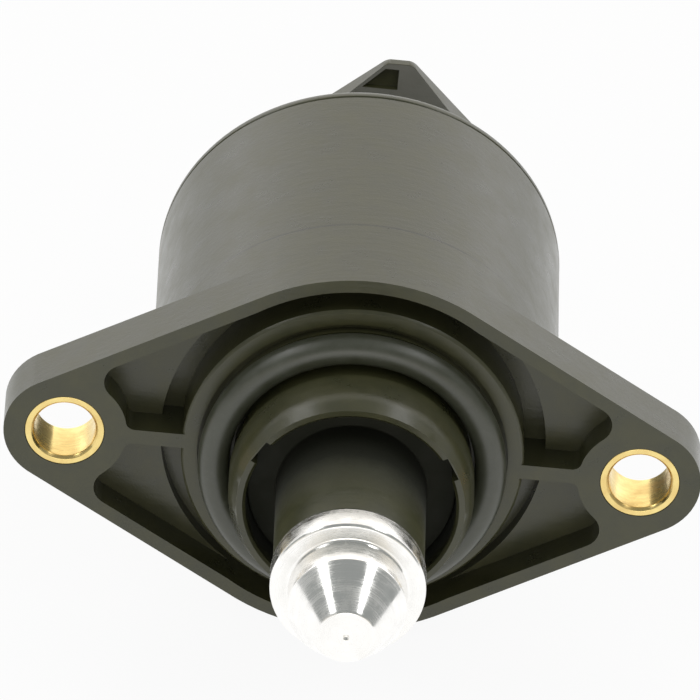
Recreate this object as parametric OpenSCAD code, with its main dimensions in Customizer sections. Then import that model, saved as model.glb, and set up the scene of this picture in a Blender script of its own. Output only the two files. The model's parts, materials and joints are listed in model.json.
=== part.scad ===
// Idle air control valve: a linear stepper actuator with a two-hole flange.
// Origin at the centre of the flange's mating face. The valve's axis lies along Y:
// the pintle points to -Y, the barrel and plug socket to +Y. Z is up, and the
// screw holes lie along X. Millimetres.
// Inside the modules a piece is drawn along its own axis, with z = 0 at the mating
// face, +z towards the pintle and y up. on_axis() turns that into the part's frame.

/* [Flange] */
// Distance between the centres of the two screw holes
hole_spacing = 50; // [47:0.5:60]
// Radius of the flange's two round ends
flange_end_r = 5.3; // [4.9:0.1:7]
// Thickness of the flange plate
flange_t = 4.9; // [4.2:0.1:7]
// Width of the rim round the pockets and the ring groove
rim_w = 1.25; // [1:0.05:1.35]
// Depth of the four pockets in the mating face
pocket_depth = 3; // [1:0.1:3.4]
// Radius of the pockets' inside corners
pocket_corner_r = 0.8; // [0.3:0.1:0.8]
// Width of the two ribs along the hole line
rib_w = 1.4; // [1:0.1:2.4]
// Wall of the screw bosses round the bushes
boss_wall = 1.6; // [1.2:0.1:2.2]

/* [Screw bushes] */
// Outside radius of the brass bushes
bush_r = 3.45; // [3.1:0.05:3.7]
// Radius of the screw hole through the bushes
bush_bore_r = 2.7; // [2.2:0.05:2.9]

/* [Body] */
// Radius of the collar behind the flange
collar_r = 17.9; // [17.8:0.1:20]
// Length of the collar behind the mating face
collar_len = 9.3; // [8:0.1:14]
// Step from the collar down to the barrel
collar_step = 0.2; // [0.15:0.05:0.6]
// Length from the mating face to the rear face of the cover
body_len = 32.3; // [31.5:0.1:40]
// Wall of the housing and the cover
wall = 1.7; // [1.5:0.1:2]
// Height of the cover's rim on the barrel
cover_rim = 1.3; // [1.3:0.1:3.5]
// Radius of the rounded rear edge
rear_edge_r = 0.8; // [0.6:0.1:1]

/* [Spigot] */
// Radius of the spigot that enters the throttle body
spigot_r = 10.6; // [10.3:0.05:10.65]
// Length of the spigot in front of the mating face
spigot_len = 8.2; // [7.2:0.1:10]
// Wall of the spigot
spigot_wall = 1.5; // [1.4:0.05:1.7]
// Radial height of the lead-in taper at the spigot's end
lead_in = 0.75; // [0.3:0.05:0.9]
// Length of the lead-in taper
lead_in_len = 1.8; // [0.8:0.1:2]
// Section diameter of the O-ring on the spigot's root
o_ring_d = 2.75; // [2.2:0.05:2.8]
// Step from the spigot down to the O-ring's gland at its root
gland_step = 0.3; // [0.25:0.05:0.5]
// Height of the O-ring's seat above the mating face
seat_h = 0.2; // [0.1:0.05:0.6]
// Width of the ring groove round the register
groove_w = 1.85; // [1.4:0.05:1.95]
// Depth of the ring groove
groove_depth = 4.5; // [3.6:0.1:4.6]
// Width of the register ring inside the groove
register_w = 1.4; // [1:0.05:1.5]
// Width of the three keyways in the guide bore
keyway_w = 2.3; // [1.6:0.1:3]
// Depth of the keyways
keyway_depth = 0.6; // [0.45:0.05:0.7]

/* [Plunger and pintle] */
// Distance from the mating face to the pintle's back face, pintle out
extension = 18.5; // [17.5:0.1:20]
// Travel of the pintle
stroke = 8; // [6:0.25:8.2]
// Radius of the plunger's stem
stem_r = 6.5; // [5.5:0.1:6.7]
// Length of the plunger's guided foot
foot_len = 3; // [2:0.1:3.3]
// Radius of the pintle's band at its back
pintle_r = 6.68; // [6.6:0.02:7.5]
// Length of the band
band_len = 2.8; // [2:0.1:4]
// Radius of the pintle in front of the band
nose_r = 5.1; // [4.6:0.1:6]
// Length of the straight part in front of the band
straight_len = 2.9; // [2:0.1:4]
// Half angle of the taper, in degrees
taper_angle = 29; // [24:0.5:34]
// Radius of the flat end
tip_r = 2.65; // [2.2:0.05:3.2]
// Radius of the centre mark in the flat end
centre_r = 0.3; // [0.2:0.05:0.5]

/* [Rotor] */
// Radius of the rotor magnet
magnet_r = 8.2; // [7.4:0.1:8.6]
// Wall of the rotor magnet
magnet_wall = 2.8; // [2:0.1:3]
// Radius of the lead screw
screw_r = 2; // [1.7:0.05:2.2]
// Outside radius of the threaded nut in the rotor
nut_r = 3.6; // [3.2:0.1:4]
// Length of the threaded nut
nut_len = 6; // [4.5:0.1:6.5]
// Radius of the rotor's journals
journal_r = 3; // [2.85:0.05:3.3]
// Thickness of the thrust washer
washer_t = 0.4; // [0.3:0.05:0.6]
// Outside radius of the rear bearing bush
rear_bush_r = 5; // [4.4:0.1:5.2]

/* [Front bearing] */
// Outside radius of the ball bearing
bearing_r = 6.5; // [6.3:0.1:6.8]
// Width of the ball bearing
bearing_w = 3.5; // [3:0.1:3.8]
// Diameter of the balls
ball_d = 2; // [1.7:0.05:2.1]
// Number of balls
ball_count = 7; // [5:1:8]

/* [Stator] */
// Thickness of the yoke plates and their claws
plate_t = 0.8; // [0.6:0.05:0.9]
// Number of claws on each yoke
claw_count = 6; // [4:1:6]
// Width of a claw at its root
claw_root_w = 4; // [3:0.1:4.2]
// Width of a claw at its tip
claw_tip_w = 2.2; // [1.4:0.1:2.8]
// Air gap between the magnet and the claws
air_gap = 0.4; // [0.3:0.05:0.5]
// Wall of the coil bobbins
bobbin_wall = 0.7; // [0.5:0.05:0.9]

/* [Plug socket] */
// Outside width of the socket
socket_w = 20; // [19:0.5:22]
// Outside height of the socket
socket_h = 12.2; // [12:0.1:12.8]
// Length of the socket behind the cover
socket_len = 14.5; // [14:0.5:17]
// Wall of the socket
socket_wall = 1.3; // [1:0.1:1.5]
// Depth of the socket's hollow
socket_depth = 10.5; // [9:0.5:12]
// Distance between the contact blades
pin_pitch = 4.2; // [3.6:0.1:4.4]
// Width of a contact blade
pin_w = 1.5; // [1:0.1:2]
// Thickness of a contact blade
pin_t = 0.8; // [0.6:0.05:0.8]
// Height of the contact tails above the axis
tail_height = 12; // [11.4:0.1:12.4]
// Height of the latch catch's top above the axis
latch_top = 12.8; // [11.8:0.1:14]
// Sideways place of the latch catch
latch_offset = 2.2; // [-2:0.1:3]
// Distance of the latch catch's foot behind the cover
latch_pos = 10.3; // [8:0.1:11]
// Backward lean of the latch catch's face, in degrees
latch_tilt = 20; // [10:1:30]
// Thickness of the latch catch at its top
latch_t = 0.8; // [0.7:0.1:1.2]

/* [Hidden] */
$fn = 96;

// Colours
plastic_color = [0.24, 0.23, 0.21];
rubber_color = [0.16, 0.17, 0.18];
brass_color = [0.86, 0.66, 0.28];
aluminium_color = [0.86, 0.86, 0.86];
steel_color = [0.6, 0.61, 0.62];
magnet_color = [0.2, 0.2, 0.22];
copper_color = [0.72, 0.4, 0.2];
bobbin_color = [0.85, 0.83, 0.75];

// Clearances: between fixed pieces, in a running fit and round a moving piece
fit = 0.02;
run = 0.05;
clear = 0.3;
// Overlap where shapes of one piece are joined, and overshoot of cuts
joined = 0.4;
over = 1;
// Small edge breaks on turned pieces
edge = 0.25;
// Amount by which a straight side runs inside a tangent
hair = 0.01;

// Flange and front face
hole_x = hole_spacing / 2;
boss_r = bush_r + boss_wall;
groove_out = collar_r - rim_w + run;
groove_in = groove_out - groove_w;
register_in = groove_in - register_w;
gland_r = spigot_r - gland_step;
gland_front = seat_h + o_ring_d + 0.6;
seat_r = spigot_r + o_ring_d - 0.5;
relief_h = -0.6;

// Guide bore of the spigot and the foot that slides in it
guide_r = spigot_r - spigot_wall;
foot_back = spigot_len - 2 * foot_len;
stop_gap = 0.5;
guide_floor = foot_back - stroke - stop_gap;
bearing_web = 1.2;
web_relief = 0.2;
bearing_front = guide_floor - bearing_web;
bearing_back = bearing_front - bearing_w;
key_angles = [30, 150, 270];

// Cavity of the barrel
barrel_r = collar_r - collar_step;
cavity_r = barrel_r - wall;
cavity_front = -groove_depth - wall;
core_in = spigot_r + 0.2;
core_out = register_in - 0.8;
core_front = -wall - 0.3;
bearing_boss_r = bearing_r + wall;
barrel_back = cover_rim - body_len;
rib_count = 6;
stator_rib_w = 1.2;

// Stator stack, from the ribs in front to the cover's lip behind
stator_gap = 1.3;
stator_front = bearing_back - stator_gap;
cover_inner = wall - body_len;
lip_h = 1.1;
stator_back = cover_inner + lip_h;
bobbin_len = (stator_front - stator_back - 4 * plate_t) / 2;
phase_len = bobbin_len + 2 * plate_t;
stator_r = cavity_r - 0.1;
cup_wall = 0.7;
pole_r = stator_r - cup_wall - fit;
claw_in = magnet_r + air_gap;
claw_out = claw_in + plate_t;
claw_len = bobbin_len - 0.8;
phase_step = 90 / claw_count;
bobbin_in = claw_out + run;
bobbin_flange_r = pole_r - 0.4;
winding_in = bobbin_in + bobbin_wall;
winding_out = bobbin_flange_r - 0.25;
lead_gate_w = 16.5;
lead_gate_h = 2.8;

// Rotor
journal_len = 3;
screw_overrun = 1.6;
screw_setback = 5.3;
hub_r = magnet_r - magnet_wall;
screw_clear_r = screw_r + clear;
hub_front = bearing_back - 1;
hub_back = cover_inner + journal_len;
magnet_front = stator_front - plate_t - 0.4;
magnet_back = hub_back + 0.1;
nut_front = magnet_front;
nut_back = nut_front - nut_len;
bush_front = hub_back - washer_t - 2 * run;
journal_back = cover_inner + 0.4;
screw_back = nut_back - screw_overrun;
screw_front = extension - screw_setback;

// Front bearing
ball_pitch_r = (bearing_r + journal_r) / 2;
ball_r = ball_d / 2;
race_r = ball_r + run;
race_land = 0.7;
bearing_mid = (bearing_front + bearing_back) / 2;

// Pintle
pintle_bore_r = 3;
pintle_bore_len = 4.5;
band_front = extension + band_len;
taper_back = band_front + straight_len;
tip_front = taper_back + (nose_r - tip_r) / tan(taper_angle);
tip_edge = 0.2;

// Socket
blade_recess = 4;
socket_back = -body_len - socket_len;
socket_floor = socket_back + socket_depth;
socket_corner_r = 2;
blade_back = socket_back + blade_recess;
strip_front = cover_inner - 0.45;
tail_front = stator_back + plate_t - 0.05;
latch_flat = 2.3;
latch_corner_r = 1.2;
latch_lean = 1.12;
latch_recess = 0.6;
window_top = latch_top - 0.5;
window_h = 1.65;
window_right = -0.05;
window_flat = 1.2;
window_lean = 1.15;

// Turns a piece drawn along z into the part's frame
module on_axis() {
  rotate([90, 0, 0]) children();
}

// Points of an arc about [cx, cz]
function arc(cx, cz, r, from, to, steps) = [for (i = [0:steps])
  let (a = from + (to - from) * i / steps) [cx + r * cos(a), cz + r * sin(a)]];

module disc(r, back, front) {
  translate([0, 0, back]) cylinder(r = r, h = front - back);
}

module tube(outer, inner, back, front) {
  difference() {
    disc(outer, back, front);
    disc(inner, back - over, front + over);
  }
}

// Flange outline: a centre circle and two end circles joined by straight sides. The
// sides run a hair inside the circles' common tangents, so that they cut the circles.
module flange_outline(inset) {
  a = acos((collar_r - flange_end_r) / hole_x);
  mid = collar_r - inset;
  end = flange_end_r - inset;
  circle(r = mid);
  for (s = [-1, 1]) {
    translate([s * hole_x, 0]) circle(r = end);
    polygon([for (side = [1, -1], t = [side, -side])
      let (r = (side > 0 ? mid : end) - hair, x = side > 0 ? 0 : s * hole_x)
      [x + s * r * cos(a), t * r * sin(a)]]);
  }
}

// The pockets between rim, bosses and ribs, reaching into the ring groove so that the
// rim's inner edge runs on into the groove's outer wall
module pocket_outline() {
  offset(r = pocket_corner_r, $fn = 24) offset(delta = -pocket_corner_r, $fn = 64)
  difference() {
    flange_outline(rim_w, $fn = 96);
    circle(r = groove_in + run, $fn = 96);
    for (s = [-1, 1]) translate([s * hole_x, 0]) circle(r = boss_r, $fn = 64);
    square([2 * hole_x, rib_w], center = true);
  }
}

// Half section of the moulding, radius and height, front face to barrel and back
module housing_section() {
  polygon(concat(
    [[gland_r, seat_h], [gland_r, gland_front], [spigot_r, gland_front]],
    [[spigot_r, spigot_len - lead_in_len]],
    [[spigot_r - lead_in, spigot_len], [guide_r + edge, spigot_len]],
    [[guide_r, spigot_len - edge], [guide_r, guide_floor], [screw_clear_r, guide_floor]],
    [[screw_clear_r, bearing_front + web_relief], [bearing_r - 1, bearing_front + web_relief]],
    [[bearing_r - 1, bearing_front], [bearing_r + fit, bearing_front]],
    [[bearing_r + fit, bearing_back]],
    [[bearing_boss_r, bearing_back], [bearing_boss_r, bearing_front]],
    [[core_in, bearing_front], [core_in, core_front]],
    [[core_out, core_front], [core_out, cavity_front]],
    [[cavity_r, cavity_front], [cavity_r, barrel_back]],
    [[barrel_r - edge / 2, barrel_back], [barrel_r, barrel_back + edge / 2]],
    [[barrel_r, -collar_len], [collar_r, -collar_len + collar_step]],
    [[collar_r, -flange_t], [collar_r - joined, -flange_t], [collar_r - joined, 0]],
    [[groove_out, 0], [groove_out, -groove_depth]],
    [[groove_in, -groove_depth], [groove_in, -edge], [groove_in - edge, 0]],
    [[register_in, 0], [register_in, relief_h], [seat_r, relief_h]],
    [[seat_r, seat_h]]));
}

module housing() color(plastic_color) on_axis() {
  difference() {
    union() {
      rotate_extrude() housing_section();
      translate([0, 0, -flange_t]) linear_extrude(flange_t) difference() {
        flange_outline(0);
        circle(r = groove_out);
      }
      for (s = [-1, 1]) flange_rib(s);
      for (i = [0:rib_count - 1]) rotate([0, 0, i * 360 / rib_count]) stator_rib();
    }
    translate([0, 0, -pocket_depth]) linear_extrude(pocket_depth + over) pocket_outline();
    for (s = [-1, 1]) translate([s * hole_x, 0, 0]) disc(bush_r + fit, -flange_t - over, over);
    for (a = key_angles) rotate([0, 0, a]) keyway();
  }
}

// Rib of the mating face, from the register across the ring groove to the boss
module flange_rib(s) {
  reach = hole_x - groove_in - bush_r + joined - boss_wall / 2;
  translate([s > 0 ? groove_in - joined : -groove_in + joined - reach, -rib_w / 2, -groove_depth])
    cube([reach, rib_w, groove_depth]);
}

// Rib inside the barrel that the stator rests on
module stator_rib() {
  translate([0, stator_rib_w / 2, 0]) rotate([90, 0, 0]) linear_extrude(stator_rib_w)
    polygon([[bearing_boss_r - joined, stator_front], [cavity_r + joined, stator_front],
      [cavity_r + joined, cavity_front + joined], [guide_r + joined, cavity_front + joined],
      [guide_r + joined, bearing_front + joined], [bearing_boss_r - joined, bearing_front + joined]]);
}

// Slot in the guide bore, from the front end to just above the bore's floor
module keyway() {
  translate([guide_r - joined, -keyway_w / 2, guide_floor + stop_gap / 2])
    cube([joined + keyway_depth, keyway_w, spigot_len - guide_floor + over]);
}

module bush(s) color(brass_color) on_axis() {
  translate([s * hole_x, 0, 0]) rotate_extrude() polygon([
    [bush_bore_r + edge, -flange_t], [bush_r - edge / 2, -flange_t],
    [bush_r, -flange_t + edge / 2], [bush_r, -edge / 2], [bush_r - edge / 2, 0],
    [bush_bore_r + edge, 0], [bush_bore_r, -edge], [bush_bore_r, -flange_t + edge]]);
}

module bush_left() bush(-1);
module bush_right() bush(1);

module flange_o_ring() color(rubber_color) on_axis() {
  translate([0, 0, seat_h + o_ring_d / 2 + fit])
    rotate_extrude() translate([spigot_r + o_ring_d / 2 + fit, 0]) circle(d = o_ring_d);
}

// Stem with a keyed foot that runs in the guide bore
module plunger() color(plastic_color) on_axis() {
  foot_r = guide_r - 0.08;
  difference() {
    union() {
      disc(stem_r, foot_back, extension);
      disc(foot_r, foot_back, foot_back + foot_len);
      disc(pintle_bore_r - fit, extension - joined, extension + pintle_bore_len - clear);
      for (a = key_angles) rotate([0, 0, a])
        translate([stem_r - joined, -keyway_w / 2 + 0.15, foot_back])
          cube([guide_r + keyway_depth - 0.2 - stem_r + joined, keyway_w - 0.3, foot_len]);
    }
    disc(screw_r + fit, foot_back - over, screw_front + fit);
  }
}

// Turned nose: band with a flat front face, straight part, taper and flat end
module pintle() color(aluminium_color) on_axis() {
  rotate_extrude() difference() {
    polygon([[0, extension], [pintle_r - edge, extension], [pintle_r, extension + edge],
      [pintle_r, band_front - edge], [pintle_r - edge, band_front], [nose_r, band_front],
      [nose_r, taper_back], [tip_r, tip_front - tip_edge], [tip_r - tip_edge, tip_front],
      [centre_r, tip_front], [0, tip_front - centre_r]]);
    translate([-over, extension - over])
      square([over + pintle_bore_r, over + pintle_bore_len]);
  }
}

module lead_screw() color(steel_color) on_axis() {
  rotate_extrude() polygon([[0, screw_back], [screw_r - 2 * edge, screw_back],
    [screw_r, screw_back + 2 * edge], [screw_r, screw_front - edge],
    [screw_r - edge, screw_front], [0, screw_front]]);
}

// Moulded hub with a hollow journal at each end and a pocket for the nut
module rotor_hub() color(bobbin_color) on_axis() {
  journal_front = bearing_front - 0.1;
  collar = journal_r + 0.9;
  flange = magnet_r - 1;
  rotate_extrude() polygon([
    [screw_clear_r, journal_front], [journal_r - fit, journal_front],
    [journal_r - fit, bearing_back - fit], [collar, bearing_back - fit],
    [collar, hub_front], [hub_r - fit, hub_front],
    [hub_r - fit, magnet_back - fit], [flange, magnet_back - fit],
    [flange, hub_back], [journal_r - run, hub_back],
    [journal_r - run, journal_back], [screw_clear_r, journal_back],
    [screw_clear_r, nut_back - fit], [nut_r + fit, nut_back - fit],
    [nut_r + fit, nut_front + fit], [screw_clear_r, nut_front + fit]]);
}

module rotor_nut() color(brass_color) on_axis() {
  difference() {
    tube(nut_r, screw_r + run, nut_back, nut_front);
    tube(nut_r + over, nut_r - edge, (nut_back + nut_front) / 2 - 0.5, (nut_back + nut_front) / 2 + 0.5);
  }
}

module rotor_magnet() color(magnet_color) on_axis() {
  tube(magnet_r, hub_r, magnet_back, magnet_front);
}

// Section of a bearing ring between two radii, less the ball race
module bearing_ring(inner, outer) {
  rotate_extrude() difference() {
    translate([inner, bearing_back]) square([outer - inner, bearing_w]);
    translate([ball_pitch_r, bearing_mid]) circle(r = race_r);
  }
}

module bearing_outer() color(steel_color) on_axis() {
  bearing_ring(ball_pitch_r + race_land, bearing_r);
}

module bearing_inner() color(steel_color) on_axis() {
  bearing_ring(journal_r, ball_pitch_r - race_land);
}

module ball_places() {
  for (i = [0:ball_count - 1]) rotate([0, 0, i * 360 / ball_count])
    translate([ball_pitch_r, 0, bearing_mid]) children();
}

module bearing_balls() color(aluminium_color) on_axis() {
  ball_places() sphere(d = ball_d);
}

module bearing_cage() color(brass_color) on_axis() {
  half_w = ball_r + clear;
  difference() {
    tube(ball_pitch_r + 0.4, ball_pitch_r - 0.4, bearing_mid - half_w, bearing_mid + half_w);
    ball_places() rotate([0, 90, 0]) cylinder(r = ball_r + run, h = ball_d, center = true);
  }
}

module rear_bush() color(brass_color) on_axis() {
  tube(rear_bush_r, journal_r, cover_inner + 0.1, bush_front);
}

module thrust_washer() color(steel_color) on_axis() {
  tube(rear_bush_r - 0.1, journal_r + 0.1, bush_front, bush_front + washer_t);
}

// One claw: tapered from root to tip, bent along the air gap
module claw() {
  intersection() {
    tube(claw_out, claw_in, -over, claw_len + over);
    rotate([90, 0, 90]) linear_extrude(claw_out + over) polygon([
      [-claw_root_w / 2, -plate_t], [claw_root_w / 2, -plate_t],
      [claw_tip_w / 2, claw_len], [-claw_tip_w / 2, claw_len]]);
  }
}

// Yoke plate with its claws, drawn with the plate behind z = 0 and the claws in front
module pole_plate(turn, outer) {
  tube(outer, claw_out - joined, -plate_t, 0);
  for (i = [0:claw_count - 1]) rotate([0, 0, turn + i * 360 / claw_count]) claw();
}

// Yoke plate with a rolled outer wall, notched at the top for the winding leads
module yoke_cup(turn) {
  difference() {
    union() {
      pole_plate(turn, stator_r);
      tube(stator_r, stator_r - cup_wall, -plate_t, phase_len - plate_t);
    }
    translate([-lead_gate_w / 2, tail_height - lead_gate_h / 2, -plate_t - over])
      cube([lead_gate_w, lead_gate_h, plate_t + over]);
  }
}

module front_yoke_cup() color(steel_color) on_axis() {
  translate([0, 0, stator_front - plate_t]) mirror([0, 0, 1]) yoke_cup(0);
}

module front_pole_plate() color(steel_color) on_axis() {
  translate([0, 0, stator_front - plate_t - bobbin_len]) pole_plate(180 / claw_count, pole_r);
}

module rear_pole_plate() color(steel_color) on_axis() {
  translate([0, 0, stator_back + plate_t + bobbin_len]) mirror([0, 0, 1])
    pole_plate(180 / claw_count + phase_step, pole_r);
}

module rear_yoke_cup() color(steel_color) on_axis() {
  translate([0, 0, stator_back + plate_t]) yoke_cup(phase_step);
}

// Spool with two flanges, drawn from z = 0 to its length
module bobbin() {
  tube(bobbin_flange_r, bobbin_in, 0, bobbin_wall);
  tube(winding_in, bobbin_in, 0, bobbin_len);
  tube(bobbin_flange_r, bobbin_in, bobbin_len - bobbin_wall, bobbin_len);
}

module winding() {
  tube(winding_out, winding_in + fit, bobbin_wall + fit, bobbin_len - bobbin_wall - fit);
}

module at_front_coil() {
  translate([0, 0, stator_front - plate_t - bobbin_len]) children();
}

module at_rear_coil() {
  translate([0, 0, stator_back + plate_t]) children();
}

module front_bobbin() color(bobbin_color) on_axis() at_front_coil() bobbin();
module rear_bobbin() color(bobbin_color) on_axis() at_rear_coil() bobbin();
module front_winding() color(copper_color) on_axis() at_front_coil() winding();
module rear_winding() color(copper_color) on_axis() at_rear_coil() winding();

// Half section of the cover: end wall, rim on the barrel, lip in the barrel, bush boss
module cover_section() {
  polygon(concat(
    [[0, -body_len]],
    arc(barrel_r - rear_edge_r, -body_len + rear_edge_r, rear_edge_r, -90, 0, 5),
    [[barrel_r, barrel_back - fit - edge / 2], [barrel_r - edge / 2, barrel_back - fit]],
    [[cavity_r - 0.1, barrel_back - fit], [cavity_r - 0.1, stator_back]],
    [[cavity_r - 0.1 - wall, stator_back], [cavity_r - 0.1 - wall, cover_inner]],
    [[rear_bush_r + wall, cover_inner], [rear_bush_r + wall, bush_front]],
    [[rear_bush_r + fit, bush_front], [rear_bush_r + fit, cover_inner]],
    [[0, cover_inner]]));
}

module rounded_box(w, h, r, back, front) {
  translate([0, 0, back]) linear_extrude(front - back)
    offset(r = r, $fn = 32) square([w - 2 * r, h - 2 * r], center = true);
}

// Side view of the catch from its foot to its top: depth behind the leaning face
module catch_side(front, back, top_back) {
  foot = socket_h / 2 - joined;
  face = -body_len - latch_pos;
  lean = (latch_top - foot) * tan(latch_tilt);
  translate([socket_w / 2, 0, face]) rotate([0, -90, 0]) linear_extrude(socket_w)
    polygon([[front, foot], [-back, foot], [-lean - top_back, latch_top],
      [front > 0 ? front : -lean, latch_top]]);
}

// Catch that the mating plug's latch hooks on: sloping sides and a blind window
module latch_catch() {
  depth = latch_top - socket_h / 2 + latch_corner_r;
  behind = (latch_top - socket_h / 2) * tan(latch_tilt) + latch_t;
  difference() {
    intersection() {
      catch_side(0, behind, latch_t);
      translate([latch_offset, 0, -body_len - latch_pos - behind - over])
        linear_extrude(behind + 2 * over) intersection() {
          offset(r = latch_corner_r, $fn = 48) offset(delta = -latch_corner_r) polygon([
            [-latch_flat / 2, latch_top + hair], [latch_flat / 2, latch_top + hair],
            [latch_flat / 2 + depth, latch_top - depth],
            [-latch_flat / 2 - depth * latch_lean, latch_top - depth]]);
          translate([-latch_offset - socket_w / 2 + joined, 0])
            square([socket_w - 2 * joined, latch_top + over]);
        }
    }
    intersection() {
      catch_side(over, latch_recess, latch_recess);
      translate([latch_offset, 0, -body_len - latch_pos - behind])
        linear_extrude(behind + 2 * over) polygon([
          [window_right, window_top - window_h], [window_right, window_top],
          [window_right - window_flat, window_top],
          [window_right - window_flat - window_h * window_lean, window_top - window_h]]);
    }
  }
}

module rear_cover() color(plastic_color) on_axis() {
  difference() {
    union() {
      rotate_extrude() cover_section();
      rounded_box(socket_w, socket_h, socket_corner_r, socket_back, -body_len + joined);
      latch_catch();
    }
    rounded_box(socket_w - 2 * socket_wall, socket_h - 2 * socket_wall,
      socket_corner_r - socket_wall / 2, socket_back - over, socket_floor);
    for (i = [0:3]) terminal_shape(i);
  }
}

// Contact: blade in the socket, strip up inside the end wall, tail into the barrel
module terminal_shape(i) {
  translate([(i - 1.5) * pin_pitch - pin_w / 2, 0, 0]) {
    translate([0, -pin_t / 2, blade_back]) cube([pin_w, pin_t, strip_front - blade_back]);
    translate([0, -pin_t / 2, strip_front - pin_t])
      cube([pin_w, tail_height + pin_t, pin_t]);
    translate([0, tail_height - pin_t / 2, strip_front - pin_t])
      cube([pin_w, pin_t, tail_front - strip_front + pin_t]);
  }
}

module terminal(number) color(brass_color) on_axis() terminal_shape(number - 1);

housing();
rear_cover();
bush_left();
bush_right();
flange_o_ring();
plunger();
pintle();
lead_screw();
rotor_hub();
rotor_nut();
rotor_magnet();
bearing_outer();
bearing_inner();
bearing_balls();
bearing_cage();
rear_bush();
thrust_washer();
front_yoke_cup();
front_pole_plate();
rear_pole_plate();
rear_yoke_cup();
front_bobbin();
rear_bobbin();
front_winding();
rear_winding();
terminal(1);  // terminal_1
terminal(2);  // terminal_2
terminal(3);  // terminal_3
terminal(4);  // terminal_4
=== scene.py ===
"""Idle air control valve: looks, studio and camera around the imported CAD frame.

Everything is in metres in the part's frame: the pintle points to -Y, the barrel and
plug socket to +Y, Z is up, and the screw holes lie along X. Sizes in millimetres carry
the factor MM. Pieces that replace a node keep its place and its outer sizes.
"""
import json
import math

import bmesh
import bpy
from mathutils import Matrix, Vector


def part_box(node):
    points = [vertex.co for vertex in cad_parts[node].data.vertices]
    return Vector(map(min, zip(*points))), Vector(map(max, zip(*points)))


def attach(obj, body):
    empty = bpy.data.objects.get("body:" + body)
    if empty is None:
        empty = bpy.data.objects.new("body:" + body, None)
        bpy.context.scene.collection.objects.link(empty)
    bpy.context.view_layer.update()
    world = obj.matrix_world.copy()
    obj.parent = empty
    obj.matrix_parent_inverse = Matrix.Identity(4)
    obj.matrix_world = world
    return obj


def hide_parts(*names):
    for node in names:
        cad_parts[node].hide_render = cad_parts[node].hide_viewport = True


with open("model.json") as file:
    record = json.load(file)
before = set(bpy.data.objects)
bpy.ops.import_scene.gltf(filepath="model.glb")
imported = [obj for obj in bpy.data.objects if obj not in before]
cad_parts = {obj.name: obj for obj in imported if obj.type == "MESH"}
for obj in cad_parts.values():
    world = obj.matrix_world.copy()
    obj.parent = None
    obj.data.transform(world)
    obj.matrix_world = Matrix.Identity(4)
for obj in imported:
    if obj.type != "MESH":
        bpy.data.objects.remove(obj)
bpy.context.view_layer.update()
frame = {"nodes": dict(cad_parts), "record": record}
NODES = frame["nodes"]
MM = 0.001

# ---------------------------------------------------------------- camera

VIEW_AZIMUTH = -2.374
VIEW_ELEVATION = 32.13
VIEW_ROLL = 6.447
VIEW_DISTANCE = 1.2691
VIEW_TARGET = Vector((0, 0.010, 0))
FOCAL_PX = 14571.9
CENTRE_PX = (354.53, 395.06)
FRAME_PX = 700
SENSOR = 36


def make_camera():
    """Camera at the photograph's angle; its picture centre is set by aiming, not by shift."""
    az = math.radians(VIEW_AZIMUTH)
    el = math.radians(VIEW_ELEVATION)
    back = Vector((math.sin(az) * math.cos(el), -math.cos(az) * math.cos(el), math.sin(el)))
    data = bpy.data.cameras.new("camera")
    data.sensor_width = SENSOR
    data.lens = FOCAL_PX * SENSOR / FRAME_PX
    data.clip_start = 0.05
    data.clip_end = 20
    camera = bpy.data.objects.new("camera", data)
    bpy.context.scene.collection.objects.link(camera)
    turn = (-back).to_track_quat("-Z", "Y").to_matrix()
    turn = turn @ Matrix.Rotation(math.radians(VIEW_ROLL), 3, "Z")
    # Turns the camera so that the target lies at CENTRE_PX
    yaw = math.atan((CENTRE_PX[0] - FRAME_PX / 2) / FOCAL_PX)
    pitch = math.atan((CENTRE_PX[1] - FRAME_PX / 2) / FOCAL_PX)
    turn = turn @ Matrix.Rotation(yaw, 3, "Y") @ Matrix.Rotation(pitch, 3, "X")
    camera.matrix_world = Matrix.Translation(VIEW_TARGET + back * VIEW_DISTANCE) @ turn.to_4x4()
    bpy.context.scene.camera = camera


# ---------------------------------------------------------------- studio

FLOOR_Z = -17.95 * MM
FLOOR_SIZE = 4
FLOOR_ALBEDO = (0.86, 0.86, 0.86, 1)
# Share of plain white that the camera sees in the floor, over its lit colour
FLOOR_WHITE = 0.93
# How much brighter the floor is in the object's reflections than to the camera
FLOOR_GLOW = 0.16
# Roll about Y of the whole light set-up, in degrees: the photograph's upright is that of
# its camera, and the valve lies rolled before it
LIGHT_ROLL = -6.0
# Radiance of the world's dome, for all but the camera's own rays: grey overhead and at
# the sides, white behind the object and brightest low down there, pale low down in front
DOME_GREY = (0.30, 0.315, 0.31, 1)
DOME_WHITE = (1.42, 1.38, 1.32, 1)
DOME_LOW = (1.66, 1.64, 1.63, 1)
DOME_FRONT = (1.00, 0.96, 0.88, 1)
# Soft lamps left and right overhead and a low one in front: name, direction, width,
# length, radiance
LAMPS = (
    ("lamp_left", (-0.62, 0.05, 0.78), 0.18, 0.80, 3.2),
    ("lamp_right", (0.62, 0.05, 0.78), 0.18, 0.80, 3.2),
    ("lamp_front", (0.02, -0.98, 0.13), 0.36, 0.24, 1.5),
)
LAMP_DISTANCE = 0.8
# Height of a lamp's direction from which it counts as overhead
OVERHEAD = 0.5


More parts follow.
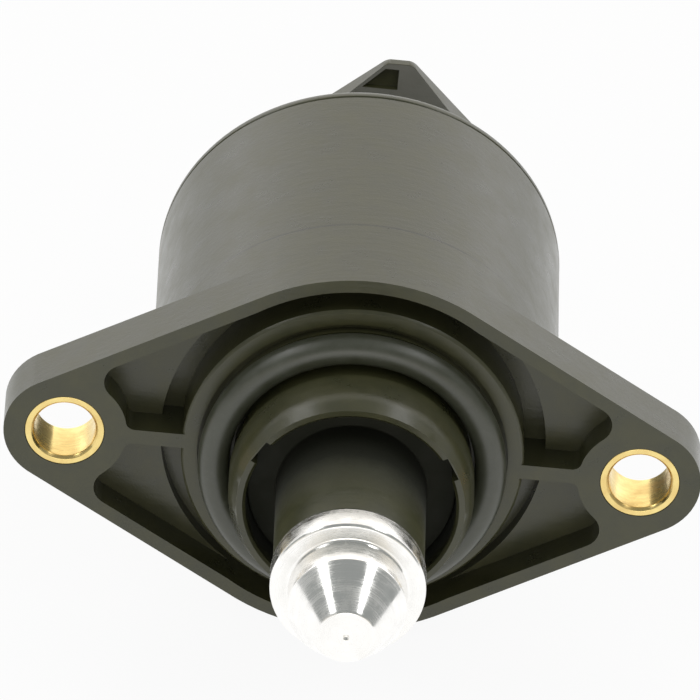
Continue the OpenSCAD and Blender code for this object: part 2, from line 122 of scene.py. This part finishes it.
class Nodes:
    """Short calls for building a node tree."""

    def __init__(self, tree):
        self.tree = tree
        tree.nodes.clear()

    def add(self, kind, inputs=None, **settings):
        node = self.tree.nodes.new(kind)
        for key, value in settings.items():
            setattr(node, key, value)
        for key, value in (inputs or {}).items():
            self.feed(node.inputs[key], value)
        return node

    def feed(self, socket, value):
        """Links an output to the socket, or sets a constant value on it."""
        if isinstance(value, bpy.types.NodeSocket):
            self.tree.links.new(value, socket)
        else:
            socket.default_value = value

    def math(self, operation, a, b=0.0):
        node = self.add("ShaderNodeMath", operation=operation)
        self.feed(node.inputs[0], a)
        self.feed(node.inputs[1], b)
        return node.outputs[0]

    def ramp(self, fac, low, high, dark=0.0, light=1.0):
        """Maps fac from low..high to dark..light, clamped."""
        return self.add("ShaderNodeMapRange", {
            "Value": fac, "From Min": low, "From Max": high, "To Min": dark, "To Max": light,
        }).outputs["Result"]

    def mix(self, fac, a, b):
        """Colour a where fac is 0, b where it is 1."""
        node = self.add("ShaderNodeMix", data_type="RGBA")
        self.feed(node.inputs[0], fac)
        self.feed(node.inputs[6], a)
        self.feed(node.inputs[7], b)
        return node.outputs[2]

    def noise(self, place, scale, detail=3.0, rough=0.5, distort=0.0):
        """Soft noise; on a place in millimetres the scale is in spots per millimetre."""
        return self.add("ShaderNodeTexNoise", {
            "Vector": place, "Scale": scale, "Detail": detail, "Roughness": rough,
            "Distortion": distort}).outputs["Fac"]


def make_world():
    """Plain white to the camera; for other rays a dome that is grey overhead."""
    world = bpy.data.worlds.new("studio")
    bpy.context.scene.world = world
    world.use_nodes = True
    n = Nodes(world.node_tree)
    place = n.add("ShaderNodeTexCoord").outputs["Generated"]
    place = n.add("ShaderNodeSeparateXYZ", {"Vector": place})
    tint = n.mix(n.ramp(place.outputs["Z"], 0.46, 0.30), DOME_WHITE, DOME_LOW)
    tint = n.mix(n.ramp(place.outputs["Y"], 0.25, 0.60), DOME_GREY, tint)
    front = n.math("MULTIPLY", n.ramp(place.outputs["Y"], -0.35, -0.65),
                   n.ramp(place.outputs["Z"], 0.45, 0.20))
    tint = n.mix(front, tint, DOME_FRONT)
    dome = n.add("ShaderNodeBackground", {"Color": tint, "Strength": 1.0}).outputs[0]
    white = n.add("ShaderNodeBackground", {"Color": (1, 1, 1, 1), "Strength": 1.0}).outputs[0]
    seen = n.add("ShaderNodeLightPath").outputs["Is Camera Ray"]
    mixed = n.add("ShaderNodeMixShader", {0: seen, 1: dome, 2: white}).outputs[0]
    n.add("ShaderNodeOutputWorld", {"Surface": mixed})


def make_floor():
    """White paper that keeps the object's shadow."""
    mesh = bpy.data.meshes.new("floor")
    bm = bmesh.new()
    bmesh.ops.create_grid(bm, x_segments=1, y_segments=1, size=FLOOR_SIZE / 2)
    bm.to_mesh(mesh)
    bm.free()
    floor = bpy.data.objects.new("floor", mesh)
    floor.location = (0, 0, FLOOR_Z)
    bpy.context.scene.collection.objects.link(floor)
    material = bpy.data.materials.new("floor_paper")
    material.use_nodes = True
    n = Nodes(material.node_tree)
    paper = n.add("ShaderNodeBsdfDiffuse", {"Color": FLOOR_ALBEDO}).outputs[0]
    path = n.add("ShaderNodeLightPath")
    glow = n.math("MULTIPLY", path.outputs["Is Glossy Ray"], FLOOR_GLOW)
    white = n.add("ShaderNodeEmission", {
        "Color": (1, 1, 1, 1), "Strength": n.math("ADD", glow, 1.0)}).outputs[0]
    seen = n.math("MAXIMUM", path.outputs["Is Camera Ray"], path.outputs["Is Glossy Ray"])
    share = n.math("MULTIPLY", seen, FLOOR_WHITE)
    mixed = n.add("ShaderNodeMixShader", {0: share, 1: paper, 2: white}).outputs[0]
    n.add("ShaderNodeOutputMaterial", {"Surface": mixed})
    mesh.materials.append(material)


def make_lamps():
    """Area lamps round the object, each aimed at its middle."""
    roll = Matrix.Rotation(math.radians(LIGHT_ROLL), 3, "Y")
    for name, direction, width, height, radiance in LAMPS:
        data = bpy.data.lights.new(name, "AREA")
        data.shape = "RECTANGLE"
        data.size = width
        data.size_y = height
        data.energy = radiance * math.pi * width * height
        lamp = bpy.data.objects.new(name, data)
        aim = roll @ Vector(direction).normalized()
        side = Vector((0, 1, 0)) if abs(aim.z) > OVERHEAD else Vector((0, 0, 1))
        across = side.cross(aim).normalized()
        turn = Matrix((across, aim.cross(across), aim)).transposed()
        lamp.matrix_world = Matrix.Translation(aim * LAMP_DISTANCE) @ turn.to_4x4()
        bpy.context.scene.collection.objects.link(lamp)


make_camera()
make_world()
make_floor()
make_lamps()

# ---------------------------------------------------------------- materials
# Noise scales count spots per millimetre, and bump distances are in metres.

# Values of the face attribute "edge": a rounded edge, and a flat of the latch catch that gets
# painted light
EDGE_MARK = 1.0
LIT_FLAT_MARK = 2.0
# Black plastic where its edges are worn pale, and a painted highlight that makes the latch
# catch's front paler than its lighting does
EDGE_WEAR = (0.13, 0.13, 0.11, 1)
CATCH_PAINTED_LIGHT = (0.23, 0.225, 0.20, 1)
# Painted shade deep in the bore and on the plunger's stem next to it, and a painted shadow line
# along the step behind the flange's collar
BORE_SHADE = (0.009, 0.010, 0.003, 1)
STEP_SHADOW = (0.010, 0.010, 0.007, 1)
# Strongest channel below which a plastic counts as black
BLACK_BELOW = 0.2
# How much smoother a worn edge is, and how much rougher the painted bore shade and the latch
# catch's painted highlight are, in roughness
EDGE_SHINE = 0.16
DULL = 3.0
# Half width of the soft edge between the radii with painted bore shade and those without, in
# millimetres
BORE_SHADE_RIM = 0.15
# Quarter turn of the anisotropy: the tool's rings run round the axis
RING_TURN = 0.25


def surface(name):
    """New material; returns it, its node helper, its place in millimetres and its shader."""
    material = bpy.data.materials.new(name)
    material.use_nodes = True
    n = Nodes(material.node_tree)
    place = n.add("ShaderNodeVectorMath", operation="SCALE")
    n.feed(place.inputs[0], n.add("ShaderNodeTexCoord").outputs["Object"])
    place.inputs["Scale"].default_value = 1 / MM
    shader = n.add("ShaderNodeBsdfPrincipled")
    n.add("ShaderNodeOutputMaterial", {"Surface": shader.outputs[0]})
    return material, n, place.outputs[0], shader


def turned_place(n, place, offset=0.0):
    """Radius about the Y axis (or about |x| = offset) and place along it, as a vector."""
    xyz = n.add("ShaderNodeSeparateXYZ", {"Vector": place})
    x = n.math("SUBTRACT", n.math("ABSOLUTE", xyz.outputs[0]), offset)
    z = xyz.outputs[2]
    radius = n.math("SQRT", n.math("ADD", n.math("MULTIPLY", x, x), n.math("MULTIPLY", z, z)))
    return n.add("ShaderNodeCombineXYZ", {"X": radius, "Y": xyz.outputs[1]}).outputs[0]


def moulded(name, colour, rough, coarse=0.9, lift=1.35, tint=(1.0, 0.96, 0.86), edge=0.5,
            gloss=0.5, bore_shade_band=None, step_shadow=None):
    """Moulded, glass-filled plastic: grain, slow mottling, flow lines and edges worn pale, with
    painted shade and painted light where asked.

    bore_shade_band: radius and two places along the valve's axis between which a painted shade,
    darkening the bore where its shadow falls, fades out.
    step_shadow: radius, place along the axis and half width of a step along which a painted
    shadow line lies.
    """
    material, n, place, shader = surface(name)
    base = (*colour, 1)
    pale = (*(min(1, c * lift * t) for c, t in zip(colour, tint)), 1)
    cloud = n.noise(place, 0.35, 4, 0.6)
    fleck = n.noise(place, 5.0, 2, 0.6)
    mark = n.add("ShaderNodeAttribute", attribute_name="edge").outputs["Fac"]
    worn = n.ramp(mark, 0.0, EDGE_MARK)
    catch_light = n.ramp(mark, EDGE_MARK + 0.2, LIT_FLAT_MARK)
    patchy = n.ramp(n.noise(place, 1.3, 4, 0.7), 0.42, 0.62, 0.0, edge)
    body = n.mix(n.ramp(cloud, 0.35, 0.7), base, pale)
    speck = n.ramp(fleck, 0.62, 0.75, 0.0, 0.30)
    body = n.mix(speck, body, (*(min(1, c * 2.2) for c in colour), 1))
    rubbed_and_lit = EDGE_WEAR if max(colour) < BLACK_BELOW else pale
    body = n.mix(n.math("MULTIPLY", worn, patchy), body, rubbed_and_lit)
    # Painted highlight: the latch catch's marked front is made paler than its lighting makes it.
    body = n.mix(n.math("MULTIPLY", catch_light, n.ramp(cloud, 0.3, 0.7, 0.8, 1.0)), body, CATCH_PAINTED_LIGHT)
    bore_shade_fac = 0.0
    # Painted shade: the bore darkens towards its depth, where its shadow falls.
    if bore_shade_band:
        radius, dark, unshaded = bore_shade_band
        along = n.add("ShaderNodeSeparateXYZ", {"Vector": turned_place(n, place)}).outputs
        inside = n.ramp(along[0], radius + BORE_SHADE_RIM, radius - BORE_SHADE_RIM)
        ragged = n.math("ADD", along[1], n.ramp(cloud, 0.3, 0.7, -0.6, 0.6))
        bore_shade_fac = n.math("MULTIPLY", inside, n.ramp(ragged, unshaded, dark))
        body = n.mix(bore_shade_fac, body, BORE_SHADE)
    # Painted shade: a dark line along the step, where its shadow falls.
    if step_shadow:
        step_radius, step_place, half_width = step_shadow
        along = n.add("ShaderNodeSeparateXYZ", {"Vector": turned_place(n, place)}).outputs
        off = n.math("ABSOLUTE", n.math("SUBTRACT", along[1], step_place))
        outside = n.ramp(along[0], step_radius - 0.05, step_radius)
        step_shadow_fac = n.math("MULTIPLY", n.ramp(off, half_width, 0.0),
                      n.math("MULTIPLY", outside, n.ramp(patchy, 0.0, edge, 0.9, 0.45)))
        body = n.mix(step_shadow_fac, body, STEP_SHADOW)
    n.feed(shader.inputs["Base Color"], body)
    shader.inputs["Specular IOR Level"].default_value = gloss
    dull = n.math("MULTIPLY", n.math("ADD", bore_shade_fac, catch_light), DULL)
    shine = n.math("MULTIPLY", n.math("SUBTRACT", worn, dull), EDGE_SHINE)
    n.feed(shader.inputs["Roughness"], n.math(
        "SUBTRACT", n.ramp(cloud, 0.3, 0.7, rough - 0.05, rough + 0.06), shine))
    grain = n.noise(place, 6.0 * coarse, 4, 0.62)
    drawn = n.add("ShaderNodeMapping", {"Vector": place, "Scale": (0.25, 1.6, 1.6)}).outputs[0]
    flow = n.noise(drawn, 1.2, 3, 0.5)
    fine = n.add("ShaderNodeBump", {"Strength": 0.28, "Distance": 0.00004, "Height": grain})
    both = n.add("ShaderNodeBump", {
        "Strength": 0.25, "Distance": 0.00006, "Height": flow, "Normal": fine.outputs[0]})
    n.feed(shader.inputs["Normal"], both.outputs[0])
    return material


def turned(name, colour, shade, fine, coarse, offset=0.0, line=14.0, depth=0.000003,
           aniso=0.6, stain=0.5):
    """Turned metal: rings left by the tool, soft stains and fine handling scratches.

    offset: distance of the turning axis from the middle, to either side along X.
    line: rings per millimetre; stain: the most that the shade covers of the colour.
    """
    material, n, place, shader = surface(name)
    ring = turned_place(n, place, offset)
    rings = n.noise(ring, line, 2, 0.7)
    broad = n.noise(ring, 1.3, 3, 0.5)
    cloud = n.noise(place, 0.5, 4, 0.6, 0.5)
    tone = n.math("ADD", n.math("MULTIPLY", broad, 0.5), n.math("MULTIPLY", cloud, 0.5))
    n.feed(shader.inputs["Base Color"],
           n.mix(n.ramp(tone, 0.38, 0.64, 0.0, stain), (*colour, 1), (*shade, 1)))
    shader.inputs["Metallic"].default_value = 1.0
    shader.inputs["Anisotropic"].default_value = aniso
    shader.inputs["Anisotropic Rotation"].default_value = RING_TURN
    n.feed(shader.inputs["Tangent"], n.add(
        "ShaderNodeTangent", direction_type="RADIAL", axis="Y").outputs[0])
    n.feed(shader.inputs["Roughness"],
           n.ramp(n.math("ADD", rings, cloud), 0.8, 1.2, fine, coarse))
    drawn = n.add("ShaderNodeMapping", {
        "Vector": place, "Rotation": (0.5, 0.2, 0.9), "Scale": (1.0, 14.0, 1.0)}).outputs[0]
    scratch = n.noise(drawn, 1.5, 2, 0.5)
    cut = n.add("ShaderNodeBump", {"Strength": 0.6, "Distance": depth, "Height": rings})
    both = n.add("ShaderNodeBump", {
        "Strength": 0.15, "Distance": depth, "Height": n.ramp(scratch, 0.60, 0.66),
        "Normal": cut.outputs[0]})
    n.feed(shader.inputs["Normal"], both.outputs[0])
    return material


def rubber(name):
    """Moulded rubber: faint grey bloom, a satin skin and fine dust."""
    material, n, place, shader = surface(name)
    cloud = n.noise(place, 0.6, 4, 0.6, 0.5)
    dust = n.ramp(n.noise(place, 9.0, 3, 0.7), 0.60, 0.75, 0.0, 0.5)
    body = n.mix(n.ramp(cloud, 0.35, 0.7), (0.040, 0.043, 0.026, 1), (0.056, 0.060, 0.042, 1))
    n.feed(shader.inputs["Base Color"], n.mix(dust, body, (0.10, 0.10, 0.09, 1)))
    shader.inputs["Specular IOR Level"].default_value = 0.75
    n.feed(shader.inputs["Roughness"], n.ramp(cloud, 0.3, 0.7, 0.32, 0.44))
    skin = n.add("ShaderNodeBump", {
        "Strength": 0.3, "Distance": 0.00002, "Height": n.noise(place, 8.0, 4, 0.6)})
    n.feed(shader.inputs["Normal"], skin.outputs[0])
    return material


def sheet_metal(name, colour, shade, rough, stretch=(1.0, 1.0, 1.0)):
    """Stamped or plated metal: rolling lines, drawn out by stretch, and slow stains."""
    material, n, place, shader = surface(name)
    long = n.add("ShaderNodeMapping", {"Vector": place, "Scale": stretch}).outputs[0]
    lines = n.noise(long, 7.0, 3, 0.6)
    cloud = n.noise(place, 0.6, 4, 0.6, 0.4)
    n.feed(shader.inputs["Base Color"],
           n.mix(n.ramp(cloud, 0.35, 0.68), (*colour, 1), (*shade, 1)))
    shader.inputs["Metallic"].default_value = 1.0
    n.feed(shader.inputs["Roughness"],
           n.ramp(n.math("ADD", lines, cloud), 0.7, 1.3, rough - 0.06, rough + 0.12))
    marks = n.add("ShaderNodeBump", {"Strength": 0.3, "Distance": 0.000008, "Height": lines})
    n.feed(shader.inputs["Normal"], marks.outputs[0])
    return material


def sintered(name, colour, shade, metallic, rough):
    """Pressed and sintered powder: open pores and a dull, mottled skin."""
    material, n, place, shader = surface(name)
    cloud = n.noise(place, 0.9, 4, 0.6)
    pores = n.add("ShaderNodeTexVoronoi", {"Vector": place, "Scale": 6.0}).outputs["Distance"]
    n.feed(shader.inputs["Base Color"],
           n.mix(n.ramp(cloud, 0.35, 0.68), (*colour, 1), (*shade, 1)))
    shader.inputs["Metallic"].default_value = metallic
    n.feed(shader.inputs["Roughness"], n.ramp(cloud, 0.3, 0.7, rough - 0.06, rough + 0.08))
    pits = n.add("ShaderNodeBump", {
        "Strength": 0.5, "Distance": 0.00003, "Height": n.ramp(pores, 0.10, 0.35)})
    n.feed(shader.inputs["Normal"], pits.outputs[0])
    return material


MATERIALS = {
    # Painted shade in the bore, on the plunger's stem next to it, and along the step behind the
    # collar.
    "housing_plastic": moulded("housing_plastic", (0.042, 0.043, 0.019), 0.31, gloss=0.6,
                               bore_shade_band=(9.3, -6.5, -8.0), step_shadow=(17.5, 9.5, 0.28)),
    "plunger_plastic": moulded("plunger_plastic", (0.036, 0.038, 0.014), 0.34, 0.6, gloss=0.5,
                               bore_shade_band=(12.0, -9.8, -15.2)),
    "brass": turned("brass", (0.86, 0.70, 0.29), (0.66, 0.43, 0.15), 0.12, 0.36, 25.0, stain=0.7),
    "rubber": rubber("rubber"),
    "aluminium": turned("aluminium", (0.93, 0.92, 0.90), (0.84, 0.83, 0.80), 0.10, 0.34),
    "steel": turned("steel", (0.60, 0.61, 0.63), (0.48, 0.48, 0.49), 0.15, 0.40),
    "inner_plastic": moulded("inner_plastic", (0.66, 0.63, 0.53), 0.45, 1.0, 1.08),
    "magnet": sintered("magnet", (0.060, 0.060, 0.066), (0.10, 0.10, 0.11), 0.0, 0.55),
    "bronze": sintered("bronze", (0.55, 0.37, 0.19), (0.42, 0.27, 0.14), 1.0, 0.42),
    "yoke_steel": sheet_metal("yoke_steel", (0.55, 0.56, 0.57), (0.44, 0.44, 0.44), 0.32,
                              (0.2, 1.0, 1.0)),
    "copper": turned("copper", (0.62, 0.27, 0.12), (0.48, 0.18, 0.07), 0.18, 0.42),
    "contact": sheet_metal("contact", (0.82, 0.76, 0.60), (0.70, 0.62, 0.44), 0.26,
                           (1.0, 0.15, 1.0)),
}
SLOTS = {row["node"]: row["material_slot"] for row in frame["record"]["subparts"]}


def set_material(obj, slot):
    """Gives the object the one material of its slot."""
    obj.data.materials.clear()
    obj.data.materials.append(MATERIALS[slot])


for node_name, obj in NODES.items():
    set_material(obj, SLOTS[node_name])

# ---------------------------------------------------------------- pieces


def dress(obj, node_name, body):
    """Makes obj the visible form of a node: its material, body, slot and place."""
    set_material(obj, SLOTS[node_name])
    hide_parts(node_name)
    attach(obj, body)


def link_mesh(name, bm, smooth=35):
    """Object from a bmesh, smooth except across edges of more than smooth degrees."""
    bmesh.ops.recalc_face_normals(bm, faces=bm.faces)
    mesh = bpy.data.meshes.new(name)
    bm.to_mesh(mesh)
    bm.free()
    mesh.shade_smooth()
    mesh.set_sharp_from_angle(angle=math.radians(smooth))
    obj = bpy.data.objects.new(name, mesh)
    bpy.context.scene.collection.objects.link(obj)
    return obj


# The pocket ends beside the screw bosses, in millimetres on one quarter of the mating face
HOLE_X = 25.0
SIDE_NORMAL = Vector((0.504, 0.8637))
POCKET_DEPTH = 3
# Distance of the rim's inner wall from the hole, squarely to the flange's straight side
RIM_WALL = 4.05
# Radii of the boss and of the pocket's end, and the angle at which the boss wall leaves
# the rib: as packed, and as in the photograph
PACKED_END = (5.05, 0.8, math.radians(16.9))
BLUNT_END = (5.4, 1.8, math.radians(15.8))
# Half thickness of the rib, and the ring round the hole in which the pocket ends lie
RIB_HALF = 0.69
END_RING = (5.0, 6.6)
WIDEST_ANGLE = math.radians(75)
SAME_PLACE = 0.02


def end_centre(boss_r, end_r):
    """Centre of the pocket's end arc, which touches the boss and the rim's inner wall."""
    p = RIM_WALL - end_r
    return Vector((math.sqrt((boss_r + end_r) ** 2 - p ** 2), p))


def fill_pocket_ends(bm):
    """Gives the pockets of the mating face the blunt ends beside the bosses.

    Each quarter of the face is seen from its screw hole: s runs along the flange's
    straight side towards the middle, p squarely towards that side. The walls' vertices
    keep their share of the boss arc or of the end arc.
    """
    boss, end, first = PACKED_END
    new_boss, new_end, new_first = BLUNT_END
    old, new = end_centre(boss, end), end_centre(new_boss, new_end)
    inward = math.atan2(SIDE_NORMAL.y, -SIDE_NORMAL.x)
    last = inward - math.atan2(old.x, old.y)
    new_last = inward - math.atan2(new.x, new.y)
    for vert in bm.verts:
        x, y, z = (c / MM for c in vert.co)
        right, up = math.copysign(1, x), math.copysign(1, z)
        local = Vector((HOLE_X - abs(x), abs(z)))
        angle = math.atan2(local.y, local.x)
        at_wall = abs(y) < SAME_PLACE or abs(y - POCKET_DEPTH) < SAME_PLACE
        if not at_wall or not END_RING[0] < local.length < END_RING[1] or angle > WIDEST_ANGLE:
            continue
        p = -SIDE_NORMAL.x * local.x + SIDE_NORMAL.y * local.y
        s = SIDE_NORMAL.y * local.x + SIDE_NORMAL.x * local.y
        if local.y < RIB_HALF or p > RIM_WALL + SAME_PLACE:
            continue
        if angle < first:
            local.x += new_boss - boss
        elif angle < last - 0.001:
            share = (angle - first) / (last - first)
            angle = new_first + share * (new_last - new_first)
            local = Vector((math.cos(angle), math.sin(angle))) * new_boss
        else:
            begin, stop = math.pi + math.atan2(old.y, old.x), math.pi / 2
            share = (begin - math.atan2(p - old.y, s - old.x) % (2 * math.pi)) / (begin - stop)
            begin = math.pi + math.atan2(new.y, new.x)
            angle = begin + max(0.0, min(1.0, share)) * (stop - begin)
            s = new.x + new_end * math.cos(angle)
            p = new.y + new_end * math.sin(angle)
            local = Vector((SIDE_NORMAL.y * s - SIDE_NORMAL.x * p,
                            SIDE_NORMAL.x * s + SIDE_NORMAL.y * p))
        vert.co.x = right * (HOLE_X - local.x) * MM
        vert.co.z = up * local.y * MM


# Angle from which an edge of a moulding is rounded, in degrees
SHARP = 38
# Distances below which vertices are one, and angle below which faces are one plane
WELD = 0.002 * MM
TINY = 0.01 * MM
FLAT_ANGLE = math.radians(0.6)


def rounded_copy(node_name, body, rubbed_and_lit=None, reshape=None, width=0.2 * MM):
    """Copy of a moulded node whose sharp edges are rounded as a mould leaves them.

    Faces for which rubbed_and_lit(face) is true are marked for painted light, paler than the worn
    edges.
    """
    bm = bmesh.new()
    bm.from_mesh(NODES[node_name].data)
    bmesh.ops.remove_doubles(bm, verts=bm.verts, dist=WELD)
    bmesh.ops.dissolve_limit(bm, angle_limit=FLAT_ANGLE, verts=bm.verts, edges=bm.edges)
    bmesh.ops.dissolve_degenerate(bm, dist=TINY, edges=bm.edges)
    if reshape:
        reshape(bm)
    sharp = [e for e in bm.edges if len(e.link_faces) == 2
             and e.calc_face_angle(0) > math.radians(SHARP)]
    rounded = bmesh.ops.bevel(
        bm, geom=sharp, offset=width, offset_type="OFFSET", segments=2, profile=0.5,
        affect="EDGES", clamp_overlap=True, miter_outer="ARC", harden_normals=False)
    mark = bm.faces.layers.float.new("edge")
    for face in rounded["faces"]:
        if face.is_valid:
            face[mark] = EDGE_MARK
    for face in bm.faces:
        if rubbed_and_lit and rubbed_and_lit(face):
            face[mark] = LIT_FLAT_MARK
    obj = link_mesh(node_name + "_moulding", bm, 40)
    weighted = obj.modifiers.new("weighted", "WEIGHTED_NORMAL")
    weighted.keep_sharp = True
    dress(obj, node_name, body)


def lathe(node_name, body, profile, steps=144, x=0.0):
    """Replaces a node by a turned piece: closed profile of (radius, height), in millimetres.

    Heights count from the mating face towards the pintle, which is -Y.
    """
    bm = bmesh.new()
    rings = []
    for radius, height in profile:
        ring = []
        for i in range(steps if radius > 0 else 1):
            a = 2 * math.pi * i / steps
            ring.append(bm.verts.new((
                (x + radius * math.cos(a)) * MM, -height * MM, radius * math.sin(a) * MM)))
        rings.append(ring)
    for one, two in zip(rings, rings[1:] + rings[:1]):
        if len(one) == 1 and len(two) == 1:
            continue
        for i in range(steps):
            j = (i + 1) % steps
            corners = [one[i % len(one)], one[j % len(one)], two[j % len(two)], two[i % len(two)]]
            bm.faces.new(list(dict.fromkeys(corners)))
    obj = link_mesh(node_name + "_turned", bm, 30)
    dress(obj, node_name, body)


def rounded(points, radius=0.12, steps=3):
    """Profile with each corner rounded; points on the axis stay.

    An arc takes at most 0.45 of the side next to it, so that two never meet.
    """
    out = []
    count = len(points)
    for k, (r, h) in enumerate(points):
        if r <= 0:
            out.append((r, h))
            continue
        here = Vector((r, h))
        before = Vector(points[k - 1]) - here
        after = Vector(points[(k + 1) % count]) - here
        cut = min(radius, before.length * 0.45, after.length * 0.45)
        start = here + before.normalized() * cut
        end = here + after.normalized() * cut
        for i in range(steps + 1):
            t = i / steps
            spot = start * (1 - t) ** 2 + here * 2 * t * (1 - t) + end * t ** 2
            out.append((spot.x, spot.y))
    return out


def make_pintle():
    """Turned and polished nose with a tool relief at the root of the straight part."""
    back, band, taper, tip = 18.5, 21.3, 24.2, 28.62
    bore_r, band_r, relief_r, nose_r, tip_r = 3.0, 6.68, 5.05, 5.10, 2.65
    bore = back + 4.5
    lathe("pintle", "plunger", rounded([
        (0, bore), (bore_r, bore), (bore_r, back), (band_r - 0.25, back), (band_r, back + 0.25),
        (band_r, band - 0.20), (band_r - 0.20, band), (relief_r + 0.20, band),
        (relief_r, band + 0.15), (nose_r, band + 0.35), (nose_r, taper), (tip_r, tip - 0.2),
        (tip_r - 0.20, tip), (0.32, tip), (0.20, tip - 0.12), (0, tip - 0.3)], 0.10), 192)


def make_bush(node_name, x):
    """Brass bush with rounded rims and the fine steps that the forming tool leaves."""
    outer, groove, bore, back = 3.45, 3.36, 2.70, -4.9
    rim, mouth = outer - 0.07, bore + 0.25
    lathe(node_name, "body", rounded([
        (mouth, back), (rim, back), (outer, back + 0.07), (outer, -2.75), (groove, -2.65),
        (groove, -2.25), (outer, -2.15), (outer, -0.07), (rim, 0.0), (mouth, 0.0),
        (bore, -0.25), (bore, back + 0.25)], 0.06), 96, x)


def make_o_ring():
    """Rubber ring with the mould's parting line inside and outside."""
    middle, height, section, ridge, sides = 11.995, 1.595, 1.375, 0.02, 64
    profile = []
    for i in range(sides):
        a = 2 * math.pi * i / sides
        radius = section - ridge + (ridge if i % (sides // 2) == 0 else 0.0)
        profile.append((middle + radius * math.cos(a), height + radius * math.sin(a)))
    lathe("flange_o_ring", "body", profile, 180)


def make_winding(node_name, back, front):
    """Coil whose outer side shows its turns of wire."""
    inner, outer, wire, bulge, sides = 10.17, 14.53, 0.34, 0.35, 5
    turns = int((front - back) / wire)
    step = (front - back) / turns
    profile = [(inner, front), (inner, back)]
    for turn in range(turns):
        for i in range(sides):
            a = math.pi * (i + 0.5) / sides
            profile.append((outer - wire * bulge * (1 - math.sin(a)),
                            back + step * (turn + 0.5 - 0.49 * math.cos(a))))
    lathe(node_name, "body", profile, 120)


def make_lead_screw():
    """Screw with a rolled thread of 1 mm pitch, narrower at its two ends."""
    low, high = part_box("lead_screw")
    back, front, crest, depth = -high[1] / MM, -low[1] / MM, 2.0, 0.42
    around, per_turn = 48, 8
    # Slope and start of the thread's flanks, and how much the ends taper
    flank, root, taper = 1.35, 0.15, 0.22
    rows = int((front - back) * per_turn)
    bm = bmesh.new()
    grid = []
    for row in range(rows + 1):
        height = back + (front - back) * row / rows
        ends = min(1.0, (height - back) / 1.0, (front - height) / 0.5)
        ring = []
        for i in range(around):
            wave = abs(((height - i / around) % 1.0) - 0.5) * 2
            cut = depth * min(1.0, max(0.0, flank * wave - root))
            radius = (crest - cut) * (1 - taper * (1 - ends))
            a = 2 * math.pi * i / around
            ring.append(bm.verts.new((
                radius * math.cos(a) * MM, -height * MM, radius * math.sin(a) * MM)))
        grid.append(ring)
    for one, two in zip(grid, grid[1:]):
        for i in range(around):
            j = (i + 1) % around
            bm.faces.new((one[i], one[j], two[j], two[i]))
    bm.faces.new(grid[0])
    bm.faces.new(grid[-1])
    obj = link_mesh("lead_screw_thread", bm, 50)
    dress(obj, "lead_screw", "plunger")


# The latch catch's front: its lowest height, the place behind which it stands, its lean,
# and the depth, taken at the axis, between the front and the floor of its window
CATCH_FOOT = 6.5 * MM
CATCH_PLACE = 38 * MM
CATCH_LEAN = math.radians(20)
CATCH_DEPTH = 40.8 * MM


def on_catch(face):
    """True on the leaning front of the latch catch outside its window, which gets painted light.
    """
    centre = face.calc_center_median()
    depth = centre.y - centre.z * math.tan(CATCH_LEAN)
    return (centre.z > CATCH_FOOT and centre.y > CATCH_PLACE and face.normal.y < -0.8
            and depth < CATCH_DEPTH)


rounded_copy("housing", "body", reshape=fill_pocket_ends)
# The latch catch's front gets a painted highlight.
rounded_copy("rear_cover", "body", on_catch)
rounded_copy("plunger", "plunger")
for k in range(1, 5):
    rounded_copy("terminal_%d" % k, "body", width=0.10 * MM)
make_pintle()
make_bush("bush_left", -25)
make_bush("bush_right", 25)
make_o_ring()
for name in ("front_winding", "rear_winding"):
    low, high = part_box(name)
    make_winding(name, -high[1] / MM, -low[1] / MM)
make_lead_screw()

bpy.context.scene.view_settings.view_transform = "Standard"
